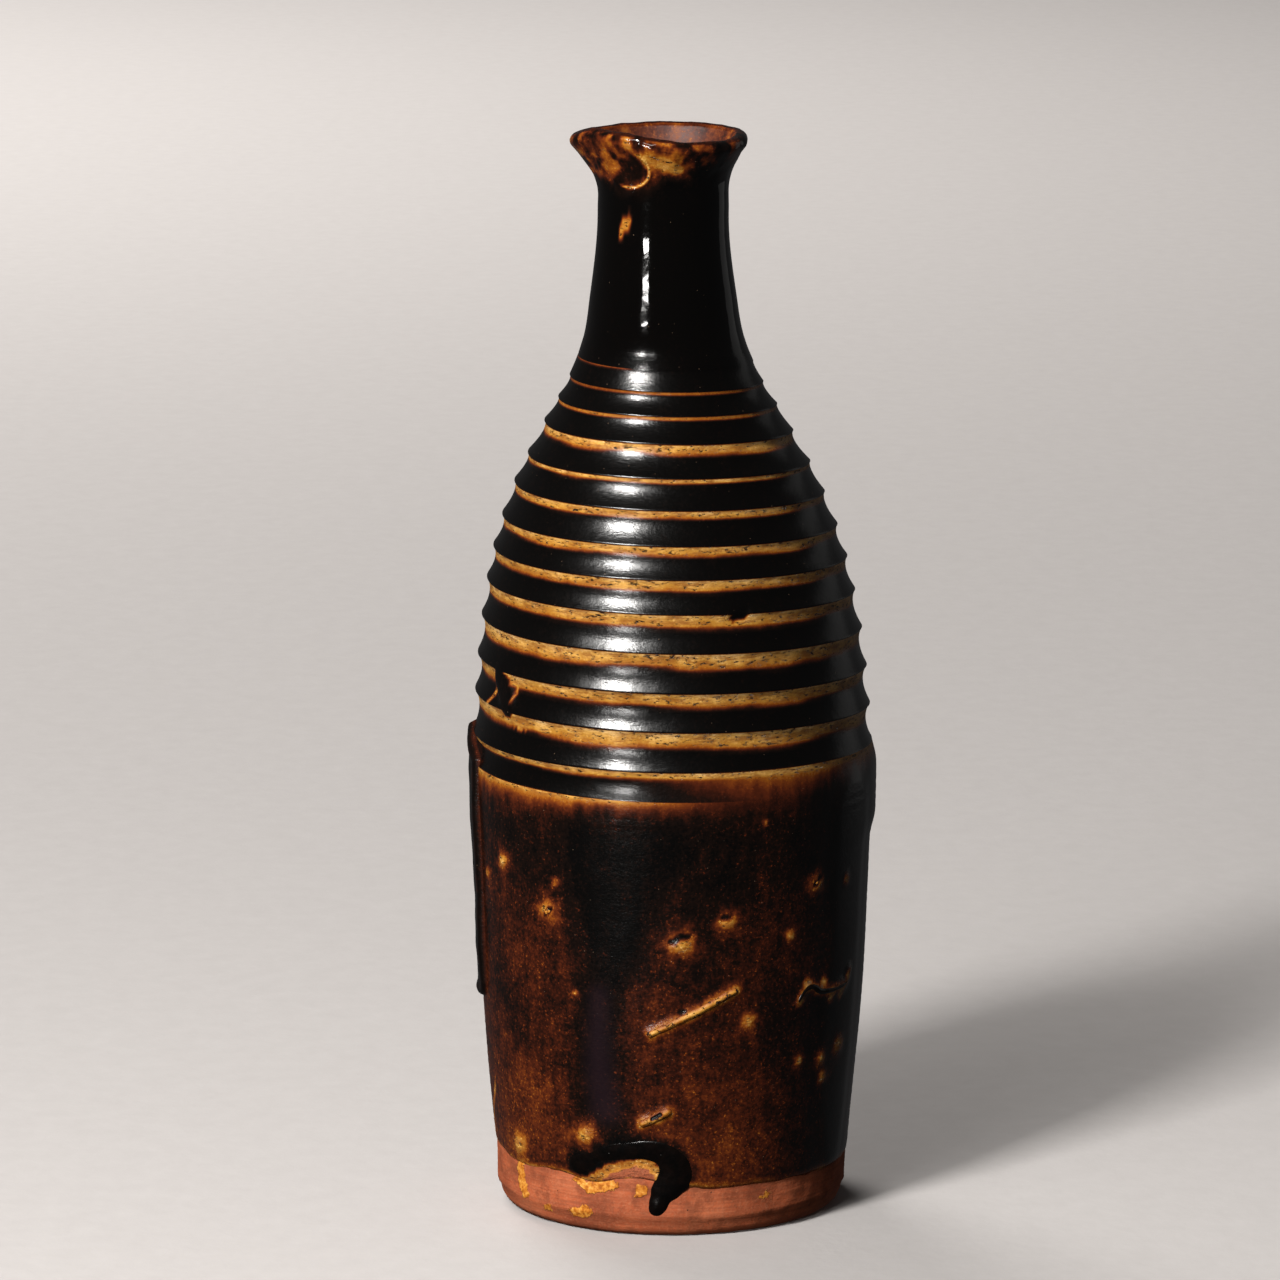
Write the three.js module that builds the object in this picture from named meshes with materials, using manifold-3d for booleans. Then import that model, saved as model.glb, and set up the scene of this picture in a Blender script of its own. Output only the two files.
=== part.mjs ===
// Stoneware sake bottle (tokkuri) with a spirally turned shoulder: a thrown clay body, glaze skins,
// an applied clay tablet, clay slivers, a raised scar and stones that broke the surface in firing.
// Millimetres, +Z up, standing on Z = 0, front towards -Y, pouring lip towards -X.

import * as THREE from 'three';
import { mergeVertices } from 'three/addons/utils/BufferGeometryUtils.js';
import Module from 'manifold-3d';

const wasm = await Module();
wasm.setup();

// ---- Driving dimensions -------------------------------------------------------------------------

const HEIGHT = 270;
const SIDES = 30; // flats round every turned surface
const GLAZE = 0.6; // thickness of a glaze skin
const GAP = 0.3; // clearance between pieces that touch
const GLAZE_LINE = 13.5; // the clay is bare below this height
const CLAY_INSET = GLAZE + GAP; // clay surface, measured inwards from the glazed surface

// Outside of the glazed bottle: radius at each height, from the glaze line to the underside of the lip.
const OUTSIDE_HEIGHTS = [13.5, 50, 84, 112, 131, 150, 167, 183, 197.5, 209, 218.5, 230, 251, 260.5, 265.5];
const OUTSIDE_RADII = [44.4, 47.6, 49.1, 50, 49.2, 47.2, 43.8, 38.2, 30.7, 24, 20.1, 18.1, 16.2, 16.8, 19.2];
const LOWER_WALL_ROWS = [13.5, 50, 84]; // heights of the plain rows below and above the grooves
const NECK_ROWS = [230, 242, 253, 260.5, 265.5];

// Inside of the glazed bottle, from the throat down to the floor.
const INSIDE_HEIGHTS = [20, 60, 112, 150, 172, 188, 200, 211, 222, 236, 251, 262];
const INSIDE_RADII = [38.6, 42.2, 44.2, 41.6, 36.2, 29.4, 23.2, 17.8, 14.2, 12.7, 12, 13.4];
const FLOOR_CORNER = [[35.5, 11.5], [28, 9], [0, 8.6]]; // radius and height
const FOOT_EDGE = [[0, 0], [40.4, 0], [41.9, 0.9], [42.8, 2.4], [43.2, 5]];

// Rolled lip: a round bead centred on this circle.
const LIP_RADIUS = 18.3;
const LIP_BEAD = 2.3;
const LIP_START = -30; // degrees below the bead's outermost point
const LIP_SEAM = 3.5; // half of the gap between the two glaze skins at the crown, in degrees

// One spiral groove runs down the shoulder. The ridge between its turns crosses the -X side at
// these heights; it falls less across the front than across the back. The first and the last
// height are plain rings, which the groove's rows leave and rejoin.
const RIDGE_HEIGHTS = [219.5, 215, 210, 204.5, 198.6, 190.6, 183.5, 175.1, 167.2, 159.2, 149.9, 140.1,
  130.8, 120.3, 113.3, 105];
const GROOVE_DEPTH = 1.1;
const GROOVE_RAMP = 0.7; // turns over which the groove deepens at the top and runs out at the bottom
const VALLEY_AT = 0.36; // the deepest line lies this far from the upper ridge to the lower one
const RIDGE_SKEW = 0.14;
const GROOVE_START = 180; // degrees from +X

// The bottle leans a little towards -X as it rises, and the lip is pulled out into a spout there.
const LEAN_HEIGHTS = [0, 100, 150, 190, 252, 275];
const LEAN = [0, 0.5, 0, -1.2, -1.9, -1.5];
const SPOUT_BASE = 254;
const SPOUT_PULL = 2.8;
const SPOUT_SPREAD = 30; // degrees
const SPOUT_DIRECTION = 180; // degrees from +X

// Applied tablet on the -X flank.
const TABLET_TOP = 122;
const TABLET_BOTTOM = 53;
const TABLET_HALF_WIDTH = 14.5;
const TABLET_PROUD = 1.3;
const TABLET_POINT = 7; // rise of the pointed top
const TABLET_CORNER = 5;
const TABLET_DIRECTION = 178; // degrees from +X

// Stones that show on the surface: degrees from +X, height, radius.
const STONES = [
  [-148.5, 92, 1.3],
  [-129, 82, 1.7],
  [-126, 89.5, 1],
  [-88, 76, 2],
  [-74, 81.5, 1.6],
  [-53.5, 76, 1.2],
  [-44, 88, 1.5],
  [-67, 55.5, 1.4],
  [-118, 25.5, 1.7],
  [-147.5, 19, 1.8],
];
const STONE_FLATTENING = 0.75;
const STONE_SUNK = 0.35; // share of a stone's radius that its centre lies below the glaze

// Slivers of clay that stuck to the wall: degrees from +X, height, length, radius, tilt in degrees.
const SLIVERS = {
  long_clay_sliver: [-84.3, 58, 21, 1.7, 27],
  short_clay_sliver: [-95, 31.5, 6, 1.6, 29],
};
const SLIVER_SUNK = 0.5;

// Raised wavy scar: degrees from +X and height of the points that it passes through.
const SCAR_PATH = [[-48, 61.5], [-39.5, 58.5], [-30, 58.5], [-25, 62.5]];
const SCAR_RADIUS = 0.9;
const SCAR_STEPS = 10;

// Tear of glaze that ran over the bare foot at the front.
const TEAR_DIRECTION = -92.5; // degrees from +X
const TEAR_SIZE = [4.2, 2.4, 8]; // half width, half depth, half height
const TEAR_CENTRE = 14.4;

// ---- Small tools --------------------------------------------------------------------------------

const radians = THREE.MathUtils.degToRad;

function curveThrough(positions, values) {
  const interpolant = new THREE.CubicInterpolant(positions, values, 1);
  return (position) => interpolant.evaluate(position)[0];
}

const outsideRadius = curveThrough(OUTSIDE_HEIGHTS, OUTSIDE_RADII);
const lean = curveThrough(LEAN_HEIGHTS, LEAN);

// Revolves a profile that may change on its way round: profileAt gets the share of the turn from
// the -X side, and has the same number of points everywhere.
function turned(profileAt) {
  const rows = profileAt(0).length;
  const geometry = new THREE.LatheGeometry(profileAt(0), SIDES);
  const position = geometry.getAttribute('position');
  for (let column = 0; column <= SIDES; column += 1) {
    const share = column / SIDES;
    const angle = radians(GROOVE_START) + 2 * Math.PI * share;
    profileAt(share).forEach(({ x: radius, y: height }, row) => {
      const index = column * rows + row;
      position.setXYZ(index, radius * Math.cos(angle), radius * Math.sin(angle), height);
    });
  }
  return geometry;
}

// Closed solid for boolean work: shared vertices merged, collapsed triangles left out.
function solid(geometry) {
  const bare = geometry.clone();
  bare.deleteAttribute('normal');
  bare.deleteAttribute('uv');
  const merged = mergeVertices(bare, 1e-3);
  const corners = merged.index.array;
  const kept = [];
  for (let i = 0; i < corners.length; i += 3) {
    const [a, b, c] = corners.subarray(i, i + 3);
    if (a !== b && b !== c && c !== a) {
      kept.push(a, b, c);
    }
  }
  return new wasm.Manifold(new wasm.Mesh({
    numProp: 3,
    vertProperties: new Float32Array(merged.attributes.position.array),
    triVerts: new Uint32Array(kept),
  }));
}

function geometryOf(manifold) {
  const mesh = manifold.getMesh();
  const geometry = new THREE.BufferGeometry();
  geometry.setAttribute('position', new THREE.BufferAttribute(mesh.vertProperties, 3));
  geometry.setIndex(new THREE.BufferAttribute(mesh.triVerts, 1));
  return geometry;
}

// Moves a profile into the wall: the material lies to the left of the direction of travel.
function inset(profile, distance) {
  return profile.map((point, i) => {
    const before = profile[Math.max(i - 1, 0)];
    const after = profile[Math.min(i + 1, profile.length - 1)];
    const along = after.clone().sub(before).normalize();
    const moved = new THREE.Vector2(point.x - along.y * distance, point.y + along.x * distance);
    moved.x = point.x === 0 ? 0 : moved.x;
    return moved;
  });
}

// Places a geometry on the wall: its own X runs round the bottle, Y runs up and Z points outwards.
function onWall(geometry, degrees, height, sunk) {
  const angle = radians(degrees);
  const radius = outsideRadius(height) - sunk;
  const around = new THREE.Vector3(-Math.sin(angle), Math.cos(angle), 0);
  const up = new THREE.Vector3(0, 0, 1);
  const outwards = new THREE.Vector3(Math.cos(angle), Math.sin(angle), 0);
  const place = new THREE.Matrix4().makeBasis(around, up, outwards);
  place.setPosition(radius * outwards.x, radius * outwards.y, height);
  return geometry.applyMatrix4(place);
}

// ---- Profiles -----------------------------------------------------------------------------------

function lipArc(bead, fromDegrees, toDegrees, steps) {
  const centre = HEIGHT - LIP_BEAD;
  return Array.from({ length: steps + 1 }, (_, i) => {
    const angle = radians(THREE.MathUtils.lerp(fromDegrees, toDegrees, i / steps));
    return new THREE.Vector2(LIP_RADIUS + bead * Math.cos(angle), centre + bead * Math.sin(angle));
  });
}

const insideProfile = [
  ...lipArc(LIP_BEAD, 90 + LIP_SEAM, 180, 3),
  ...INSIDE_HEIGHTS.map((height, i) => new THREE.Vector2(INSIDE_RADII[i], height)).reverse(),
  ...FLOOR_CORNER.map(([radius, height]) => new THREE.Vector2(radius, height)),
];

// Point of the outside at a height, moved a distance into the wall, with the groove cut to a depth.
function wallPoint(height, distance, depth = 0) {
  const step = 1;
  const slope = (outsideRadius(height + step) - outsideRadius(height - step)) / (2 * step);
  const outwards = new THREE.Vector2(1, -slope).normalize().multiplyScalar(distance);
  return new THREE.Vector2(outsideRadius(height) - depth - outwards.x, height - outwards.y);
}

// ---- Spiral groove ------------------------------------------------------------------------------

const GROOVE_TURNS = RIDGE_HEIGHTS.length - 1;

function ridgeHeight(turn) {
  const whole = Math.min(Math.floor(turn), GROOVE_TURNS);
  const next = Math.min(whole + 1, GROOVE_TURNS);
  const part = turn - whole;
  const share = part - (RIDGE_SKEW * (1 - Math.cos(2 * Math.PI * part))) / 2;
  return THREE.MathUtils.lerp(RIDGE_HEIGHTS[whole], RIDGE_HEIGHTS[next], share);
}

// A ridge and, below it, the groove's deepest line. Both start from the upper plain ring at turn 0.
function grooveRows(turn, distance) {
  const ridge = ridgeHeight(turn);
  const opened = Math.min(turn, 1);
  const valley = THREE.MathUtils.lerp(ridge, ridgeHeight(turn + 1), VALLEY_AT * opened);
  const rampIn = THREE.MathUtils.smoothstep(turn, 1, 1 + GROOVE_RAMP);
  const rampOut = 1 - THREE.MathUtils.smoothstep(turn, GROOVE_TURNS - 1.5 - GROOVE_RAMP, GROOVE_TURNS - 1.5);
  return [
    wallPoint(valley, distance, GROOVE_DEPTH * rampIn * rampOut),
    wallPoint(ridge, distance),
  ];
}

// Rows of the outside from the glaze line up to the crown of the lip. Each turn of the groove is a
// set of rows that sinks by one pitch in one turn, so its end meets the start of the next set.
function wallRows(share, distance) {
  const rows = LOWER_WALL_ROWS.map((height) => wallPoint(height, distance));
  rows.push(wallPoint(RIDGE_HEIGHTS[GROOVE_TURNS], distance));
  for (let set = GROOVE_TURNS - 1; set >= 0; set -= 1) {
    rows.push(...grooveRows(set + share, distance));
  }
  rows.push(wallPoint(RIDGE_HEIGHTS[0], distance));
  rows.push(...NECK_ROWS.map((height) => wallPoint(height, distance)));
  rows.push(...lipArc(LIP_BEAD - distance, LIP_START, 90 - LIP_SEAM, 4));
  return rows;
}

// ---- Turned solids ------------------------------------------------------------------------------

function makeOuterGlaze() {
  return solid(turned((share) => {
    const surface = wallRows(share, 0);
    return [...surface, ...wallRows(share, GLAZE).reverse(), surface[0]];
  }));
}

function makeInnerGlaze() {
  const backing = inset(insideProfile, GLAZE).reverse();
  return solid(turned(() => [...backing, ...insideProfile]));
}

function makeClayBody() {
  const foot = FOOT_EDGE.map(([radius, height]) => new THREE.Vector2(radius, height));
  const inside = inset(insideProfile, CLAY_INSET);
  return solid(turned((share) => [...foot, ...wallRows(share, CLAY_INSET), ...inside]));
}

// ---- Applied pieces -----------------------------------------------------------------------------

function makeTabletOutline(margin) {
  const half = TABLET_HALF_WIDTH + margin;
  const shoulder = TABLET_TOP - TABLET_POINT + margin;
  const bottom = TABLET_BOTTOM - margin;
  const corner = TABLET_CORNER + margin;
  const outline = new THREE.Shape();
  outline.moveTo(half, bottom + corner);
  outline.lineTo(half, shoulder);
  outline.lineTo(0, TABLET_TOP + margin);
  outline.lineTo(-half, shoulder);
  outline.lineTo(-half, bottom + corner);
  outline.absarc(-half + corner, bottom + corner, corner, Math.PI, 1.5 * Math.PI);
  outline.absarc(half - corner, bottom + corner, corner, 1.5 * Math.PI, 2 * Math.PI);
  return outline;
}

// Block in the shape of the tablet's outline that reaches through the wall on the -X side.
function makeTabletBlock(margin) {
  const depth = 30;
  const geometry = new THREE.ExtrudeGeometry(makeTabletOutline(margin), {
    depth,
    bevelEnabled: false,
    curveSegments: 4,
  });
  geometry.translate(0, -TABLET_BOTTOM, -depth / 2);
  return solid(onWall(geometry, TABLET_DIRECTION, TABLET_BOTTOM, 0));
}

// Smooth band of wall, without grooves, from one distance inside the glazed surface to another.
function makeBand(outerDistance, innerDistance) {
  const heights = OUTSIDE_HEIGHTS.filter((height) => height > GLAZE_LINE && height < RIDGE_HEIGHTS[0]);
  const face = heights.map((height) => wallPoint(height, outerDistance));
  const back = heights.map((height) => wallPoint(height, innerDistance)).reverse();
  return solid(turned(() => [...face, ...back, face[0]]));
}

function makeTablet() {
  return makeTabletBlock(0).intersect(makeBand(-TABLET_PROUD, CLAY_INSET - GAP));
}

function makeStone([degrees, height, radius], margin) {
  const stone = new THREE.IcosahedronGeometry(radius + margin, 1);
  stone.scale(1, 1, STONE_FLATTENING);
  return solid(onWall(stone, degrees, height, radius * STONE_SUNK));
}

function makeSliver([degrees, height, length, radius, tilt], margin) {
  const sliver = new THREE.CapsuleGeometry(radius + margin, length, 3, 8);
  sliver.rotateZ(radians(tilt - 90));
  return solid(onWall(sliver, degrees, height, SLIVER_SUNK));
}

function makeScar(margin) {
  const points = SCAR_PATH.map(([degrees, height]) => {
    const angle = radians(degrees);
    const radius = outsideRadius(height) - SCAR_RADIUS * STONE_SUNK;
    return new THREE.Vector3(radius * Math.cos(angle), radius * Math.sin(angle), height);
  });
  const section = new THREE.Shape();
  section.absarc(0, 0, SCAR_RADIUS + margin, 0, 2 * Math.PI);
  const path = new THREE.CatmullRomCurve3(points);
  return solid(new THREE.ExtrudeGeometry(section, {
    extrudePath: path,
    steps: SCAR_STEPS,
    curveSegments: 4,
    bevelEnabled: false,
  }));
}

// Drop of glaze below the glaze line, clear of the clay foot and of the outer glaze.
function makeTear() {
  const [halfWidth, halfDepth, halfHeight] = TEAR_SIZE;
  const drop = new THREE.SphereGeometry(1, 14, 10);
  drop.scale(halfWidth, halfHeight, halfDepth);
  const placed = solid(onWall(drop, TEAR_DIRECTION, TEAR_CENTRE, CLAY_INSET));
  const reach = 60;
  const footWall = [
    new THREE.Vector2(0, -1),
    ...FOOT_EDGE.slice(1).map(([radius, height]) => new THREE.Vector2(radius + GAP, height - GAP)),
    new THREE.Vector2(outsideRadius(GLAZE_LINE) - CLAY_INSET + GAP, GLAZE_LINE - GAP),
    new THREE.Vector2(reach, GLAZE_LINE - GAP),
    new THREE.Vector2(reach, GLAZE_LINE + reach),
    new THREE.Vector2(0, GLAZE_LINE + reach),
  ];
  return placed.subtract(solid(turned(() => footWall)));
}

// ---- Assembly -----------------------------------------------------------------------------------

const MATERIALS = {
  clay: new THREE.MeshStandardMaterial({ color: 0x9a5434, roughness: 0.8, metalness: 0 }),
  glaze: new THREE.MeshStandardMaterial({ color: 0x2a150b, roughness: 0.15, metalness: 0 }),
  thinGlaze: new THREE.MeshStandardMaterial({ color: 0x8a5a24, roughness: 0.25, metalness: 0 }),
  blackGlaze: new THREE.MeshStandardMaterial({ color: 0x0c0a0a, roughness: 0.1, metalness: 0 }),
  sliver: new THREE.MeshStandardMaterial({ color: 0xb9883c, roughness: 0.35, metalness: 0 }),
  stone: new THREE.MeshStandardMaterial({ color: 0xd0a050, roughness: 0.5, metalness: 0 }),
};

// Leans and pulls a finished piece the way the whole soft bottle was leant and pulled.
function settle(geometry) {
  const position = geometry.getAttribute('position');
  for (let i = 0; i < position.count; i += 1) {
    const x = position.getX(i);
    const y = position.getY(i);
    const z = position.getZ(i);
    const away = THREE.MathUtils.radToDeg(Math.atan2(y, x)) - SPOUT_DIRECTION;
    const turnedAway = THREE.MathUtils.euclideanModulo(away + 180, 360) - 180;
    const facing = Math.exp(-((turnedAway / SPOUT_SPREAD) ** 2));
    const pull = SPOUT_PULL * facing * THREE.MathUtils.smoothstep(z, SPOUT_BASE, HEIGHT);
    const radius = Math.hypot(x, y);
    const stretch = radius > 0 ? (radius + pull) / radius : 1;
    position.setXYZ(i, x * stretch + lean(z), y * stretch, z);
  }
  geometry.computeVertexNormals();
  return geometry;
}

const bottle = new THREE.Group();

function addPiece(name, manifold, material) {
  const mesh = new THREE.Mesh(settle(geometryOf(manifold)), material);
  mesh.name = name;
  bottle.add(mesh);
}

let clayBody = makeClayBody();
let outerGlaze = makeOuterGlaze();

// A piece that is bedded in the wall gets a pocket, a gap larger than itself, in clay and glaze.
function bed(name, piece, pocket, material) {
  clayBody = clayBody.subtract(pocket);
  outerGlaze = outerGlaze.subtract(pocket);
  addPiece(name, piece, material);
}

STONES.forEach((stone, i) => {
  const name = `stone_${String(i + 1).padStart(2, '0')}`;
  bed(name, makeStone(stone, 0), makeStone(stone, GAP), MATERIALS.stone);
});

for (const [name, sliver] of Object.entries(SLIVERS)) {
  bed(name, makeSliver(sliver, 0), makeSliver(sliver, GAP), MATERIALS.sliver);
}

bed('raised_scar', makeScar(0), makeScar(GAP), MATERIALS.blackGlaze);

outerGlaze = outerGlaze.subtract(makeTabletBlock(GAP));
addPiece('side_tablet', makeTablet(), MATERIALS.glaze);
addPiece('foot_glaze_tear', makeTear(), MATERIALS.blackGlaze);
addPiece('inner_glaze', makeInnerGlaze(), MATERIALS.thinGlaze);
addPiece('outer_glaze', outerGlaze, MATERIALS.glaze);
addPiece('clay_body', clayBody, MATERIALS.clay);

export default bottle;
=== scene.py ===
"""Stoneware sake bottle: fine surfaces and fired-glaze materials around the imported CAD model.

Lengths are millimetres until a mesh is made, which is in metres. Angles are degrees round the
bottle from +X, seen from above, so the front (-Y) is at -90 and the pouring lip (-X) at 180.
"""
import math

import bmesh
import bpy
import numpy as np
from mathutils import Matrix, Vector, noise


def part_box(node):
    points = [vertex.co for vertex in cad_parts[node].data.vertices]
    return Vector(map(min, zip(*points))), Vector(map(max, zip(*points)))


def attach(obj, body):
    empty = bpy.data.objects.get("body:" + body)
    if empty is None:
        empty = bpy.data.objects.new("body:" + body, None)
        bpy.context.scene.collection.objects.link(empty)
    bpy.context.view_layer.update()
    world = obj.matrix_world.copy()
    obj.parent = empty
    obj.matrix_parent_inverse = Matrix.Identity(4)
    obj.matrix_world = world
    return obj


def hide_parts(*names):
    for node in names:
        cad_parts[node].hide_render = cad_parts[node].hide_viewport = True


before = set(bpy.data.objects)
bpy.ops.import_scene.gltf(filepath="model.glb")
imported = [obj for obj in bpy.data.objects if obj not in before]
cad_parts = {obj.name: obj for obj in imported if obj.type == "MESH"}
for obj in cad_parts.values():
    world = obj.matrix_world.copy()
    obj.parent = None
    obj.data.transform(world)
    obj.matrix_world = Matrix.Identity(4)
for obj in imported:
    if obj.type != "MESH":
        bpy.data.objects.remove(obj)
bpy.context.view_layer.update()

MM = 0.001

# ---- Sizes from the frame --------------------------------------------------------------------------

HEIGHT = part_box("outer_glaze")[1].z / MM
GLAZE_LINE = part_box("outer_glaze")[0].z / MM
TABLET_LOW, TABLET_HIGH = (corner.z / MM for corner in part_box("side_tablet"))

# ---- Driving dimensions ----------------------------------------------------------------------------

OUTSIDE_HEIGHTS = [13.5, 50, 84, 112, 131, 150, 167, 183, 197.5, 209, 218.5, 230, 251, 260.5, 265.5]
OUTSIDE_RADII = [44.4, 47.6, 49.1, 50, 49.2, 47.2, 43.8, 38.2, 30.7, 24, 20.1, 18.1, 16.2, 16.8, 19.2]
INSIDE_HEIGHTS = [20, 60, 112, 150, 172, 188, 200, 211, 222, 236, 251, 262]
INSIDE_RADII = [38.6, 42.2, 44.2, 41.6, 36.2, 29.4, 23.2, 17.8, 14.2, 12.7, 12, 13.4]
LEAN_HEIGHTS = [0, 100, 150, 190, 252, 275]
LEAN = [0, 0.5, 0, -1.2, -1.9, -1.5]

LIP_RADIUS = 18.6  # to the centre of the rounded rim
LIP_BEAD = 2.0
LIP_START = -28  # degrees on the bead where the flare meets it
INNER_LIP = [(15.6, 265.9), (14.75, 264.6), (13.95, 263.2), (13.3, 261.9)]
SPOUT_BASE = 254
SPOUT_PULL = 2.8
SPOUT_SPREAD = 30

# Height of the rim above its mean level, round the mouth: it is lifted beside the pouring lip.
RIM_ANGLES = [-180, -168, -154, -130, -111, -96, -82, -60, -42, 0, 50, 90, 130, 160, 180]
RIM_LIFT = [-0.1, 0.7, 2.0, 2.0, 1.5, 0.7, 0, -0.3, -0.5, 0.3, 0.6, 0.7, 0.5, 0.1, -0.1]

# Height of the lower edge of the glaze round the foot.
LINE_ANGLES = [-180, -166, -145, -127, -118, -105, -98, -90, -86, -52, -5, 40, 90, 140, 180]
LINE_HEIGHTS = [14.6, 14.4, 13.3, 14.2, 13.0, 14.4, 14.6, 13.4, 12.9, 12.2, 12.0, 13.2, 13.9, 13.2, 14.6]

# The spiral groove: height of its ridge at the -X side, one value for each turn, and for the groove
# under each ridge its depth and the width of the face where the glaze runs thin.
RIDGE_HEIGHTS = [219.5, 215, 210, 204.5, 198.6, 190.6, 183.5, 175.1, 167.2, 159.2, 149.9, 140.1,
                 130.8, 120.3, 113.3, 105]
RIDGE_SKEW = 0.14
GROOVE_DEPTHS = [0, 0.3, 0.6, 0.7, 1.1, 0.95, 1.1, 1.15, 1.2, 1.25, 1.3, 1.35, 1.3, 0.95, 0.15, 0]
THIN_WIDTHS = [0.3, 0.5, 0.7, 0.9, 2.3, 1.2, 1.9, 2.4, 2.7, 3.5, 4.2, 3.8, 4.4, 1.9, 1.5, 1.5]
FIRST_TURN = 1.0
FADE_IN = 0.35  # turns
LAST_TURN = 13.55
FADE_OUT = 0.5

GLAZE_THICKNESS = 0.6
LINING_THICKNESS = 0.5
GLAZE_IOR = 1.45
FRONT_COLUMNS = 200
BACK_COLUMNS = 104


# ---- Curves and fields -----------------------------------------------------------------------------

def smooth_curve(xs, ys):
    """Cubic Hermite curve through the points, flat beyond its ends."""
    xs, ys = np.array(xs, float), np.array(ys, float)
    slopes = np.gradient(ys, xs)

    def value(x):
        x = np.clip(np.asarray(x, float), xs[0], xs[-1])
        i = np.clip(np.searchsorted(xs, x, side="right") - 1, 0, len(xs) - 2)
        span = xs[i + 1] - xs[i]
        t = (x - xs[i]) / span
        return (ys[i] * (2 * t ** 3 - 3 * t ** 2 + 1) + slopes[i] * span * (t ** 3 - 2 * t ** 2 + t)
                + ys[i + 1] * (3 * t ** 2 - 2 * t ** 3) + slopes[i + 1] * span * (t ** 3 - t ** 2))

    return value


def smoothstep(low, high, x):
    """Zero up to `low`, rising smoothly to one at `high`."""
    t = np.clip((np.asarray(x, float) - low) / (high - low), 0, 1)
    return t * t * (3 - 2 * t)


def falloff(low, high, x):
    """One up to `low`, falling smoothly to zero at `high`."""
    return 1 - smoothstep(low, high, x)


def lerp(a, b, t):
    return a + (b - a) * t


def field(points, scale, seed, octaves=1):
    """Seamless noise from about -1 to 1 on points in millimetres; scale is its grain in millimetres."""
    shift = Vector((17.3 * seed, -9.1 * seed, 5.7 * seed))
    flat = points.reshape(-1, 3) / scale
    if octaves == 1:
        values = [noise.noise(Vector(p) + shift) for p in flat]
    else:
        values = [noise.fractal(Vector(p) + shift, 1.0, 2.0, octaves) for p in flat]
    return np.array(values).reshape(points.shape[:-1])


outside_radius = smooth_curve(OUTSIDE_HEIGHTS, OUTSIDE_RADII)
lean = smooth_curve(LEAN_HEIGHTS, LEAN)
rim_lift = smooth_curve(RIM_ANGLES, RIM_LIFT)
line_height = smooth_curve(LINE_ANGLES, LINE_HEIGHTS)


def wrapped(angle):
    """Angle in degrees, from -180 to 180."""
    return (np.asarray(angle) + 180) % 360 - 180


def settle(angle, radius, height):
    """Point of the finished bottle: leant, with the lip pulled and lifted as it was when soft."""
    away = wrapped(angle - 180)
    pull = SPOUT_PULL * np.exp(-(away / SPOUT_SPREAD) ** 2) * smoothstep(SPOUT_BASE, HEIGHT, height)
    lift = rim_lift(wrapped(angle)) * smoothstep(258, HEIGHT - 1, height)
    r = np.where(radius > 0.01, radius + pull, radius)
    turn = np.radians(angle)
    return np.stack([r * np.cos(turn) + lean(height), r * np.sin(turn), height + lift], axis=-1)


def turned(angle, radius, height):
    """Points as they were turned on the wheel, before the bottle leant."""
    turn, radius, height = np.broadcast_arrays(np.radians(angle), radius, height)
    return np.stack([radius * np.cos(turn), radius * np.sin(turn), height], axis=-1)


# ---- Marks on the wall: angle, height and size -----------------------------------------------------

BURSTS = [
    # angle, height, radius of the bump, its height, radius of the thin glaze
    (-159.5, 87, 1.2, 0.35, 1.6), (-148.5, 92, 1.6, 0.6, 2.4), (-126, 89.5, 1.0, 0.3, 1.3),
    (-129, 82, 1.9, 0.7, 3.0), (-88, 76, 2.6, 0.9, 3.6), (-74, 81.5, 2.0, 0.8, 2.8),
    (-53.5, 76, 1.2, 0.5, 1.7), (-44, 88, 1.8, 0.7, 2.6), (-29.5, 87, 1.2, 0.4, 1.6),
    (-67, 55.5, 1.6, 0.5, 2.1), (-118, 25.5, 2.0, 0.7, 3.2), (-147.5, 19, 2.2, 0.8, 3.4),
    (-48.5, 43, 1.2, 0.4, 1.6), (-39, 42.5, 1.4, 0.5, 2.0), (-29.5, 44.5, 1.8, 0.5, 2.6),
    (-37, 37.5, 1.2, 0.4, 1.8), (-120, 62, 0.7, 0.25, 0.9), (-63, 105.5, 0.6, 0.2, 0.8),
    # the far side
    (24, 71, 1.8, 0.6, 2.6), (47, 92, 1.3, 0.5, 1.9), (66, 33, 2.1, 0.7, 3.0),
    (88, 61, 1.5, 0.5, 2.2), (109, 84, 2.2, 0.8, 3.1), (127, 27, 1.6, 0.5, 2.4), (148, 68, 1.2, 0.4, 1.7),
]
LONG_SLIVER = [(-96.6, 53.0, 1.05), (-84, 58.2, 1.2), (-71.8, 63.5, 1.1)]
SHORT_SLIVER = [(-98.9, 29.7, 1.1), (-91.4, 32.9, 1.25)]
SCAR = [(-50, 58.8, 0.5), (-47.5, 61.2, 0.7), (-44.5, 61.8, 0.8), (-41, 60.2, 1.0), (-37, 59.6, 1.0),
        (-32, 59.7, 1.0), (-28, 60.2, 0.8), (-25.5, 63.2, 0.5)]
SCAR_PATCHES = [(-49.3, 58.6, 1.3), (-46.5, 62.6, 1.4), (-39.5, 62.3, 1.3), (-36, 57.6, 1.2),
                (-30.5, 58.2, 1.5), (-27, 61.6, 1.0)]
FRONT_RUN = [(-106, 108, 13), (-106, 92, 10), (-109, 75, 7), (-112, 60, 5), (-112.5, 45, 4.4),
             (-112, 30, 5.5), (-110, 22, 8)]
RIGHT_RUN = [(-26, 104, 9), (-28, 70, 8), (-30, 45, 9), (-27, 24, 6.5), (-26, 14, 3)]
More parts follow.
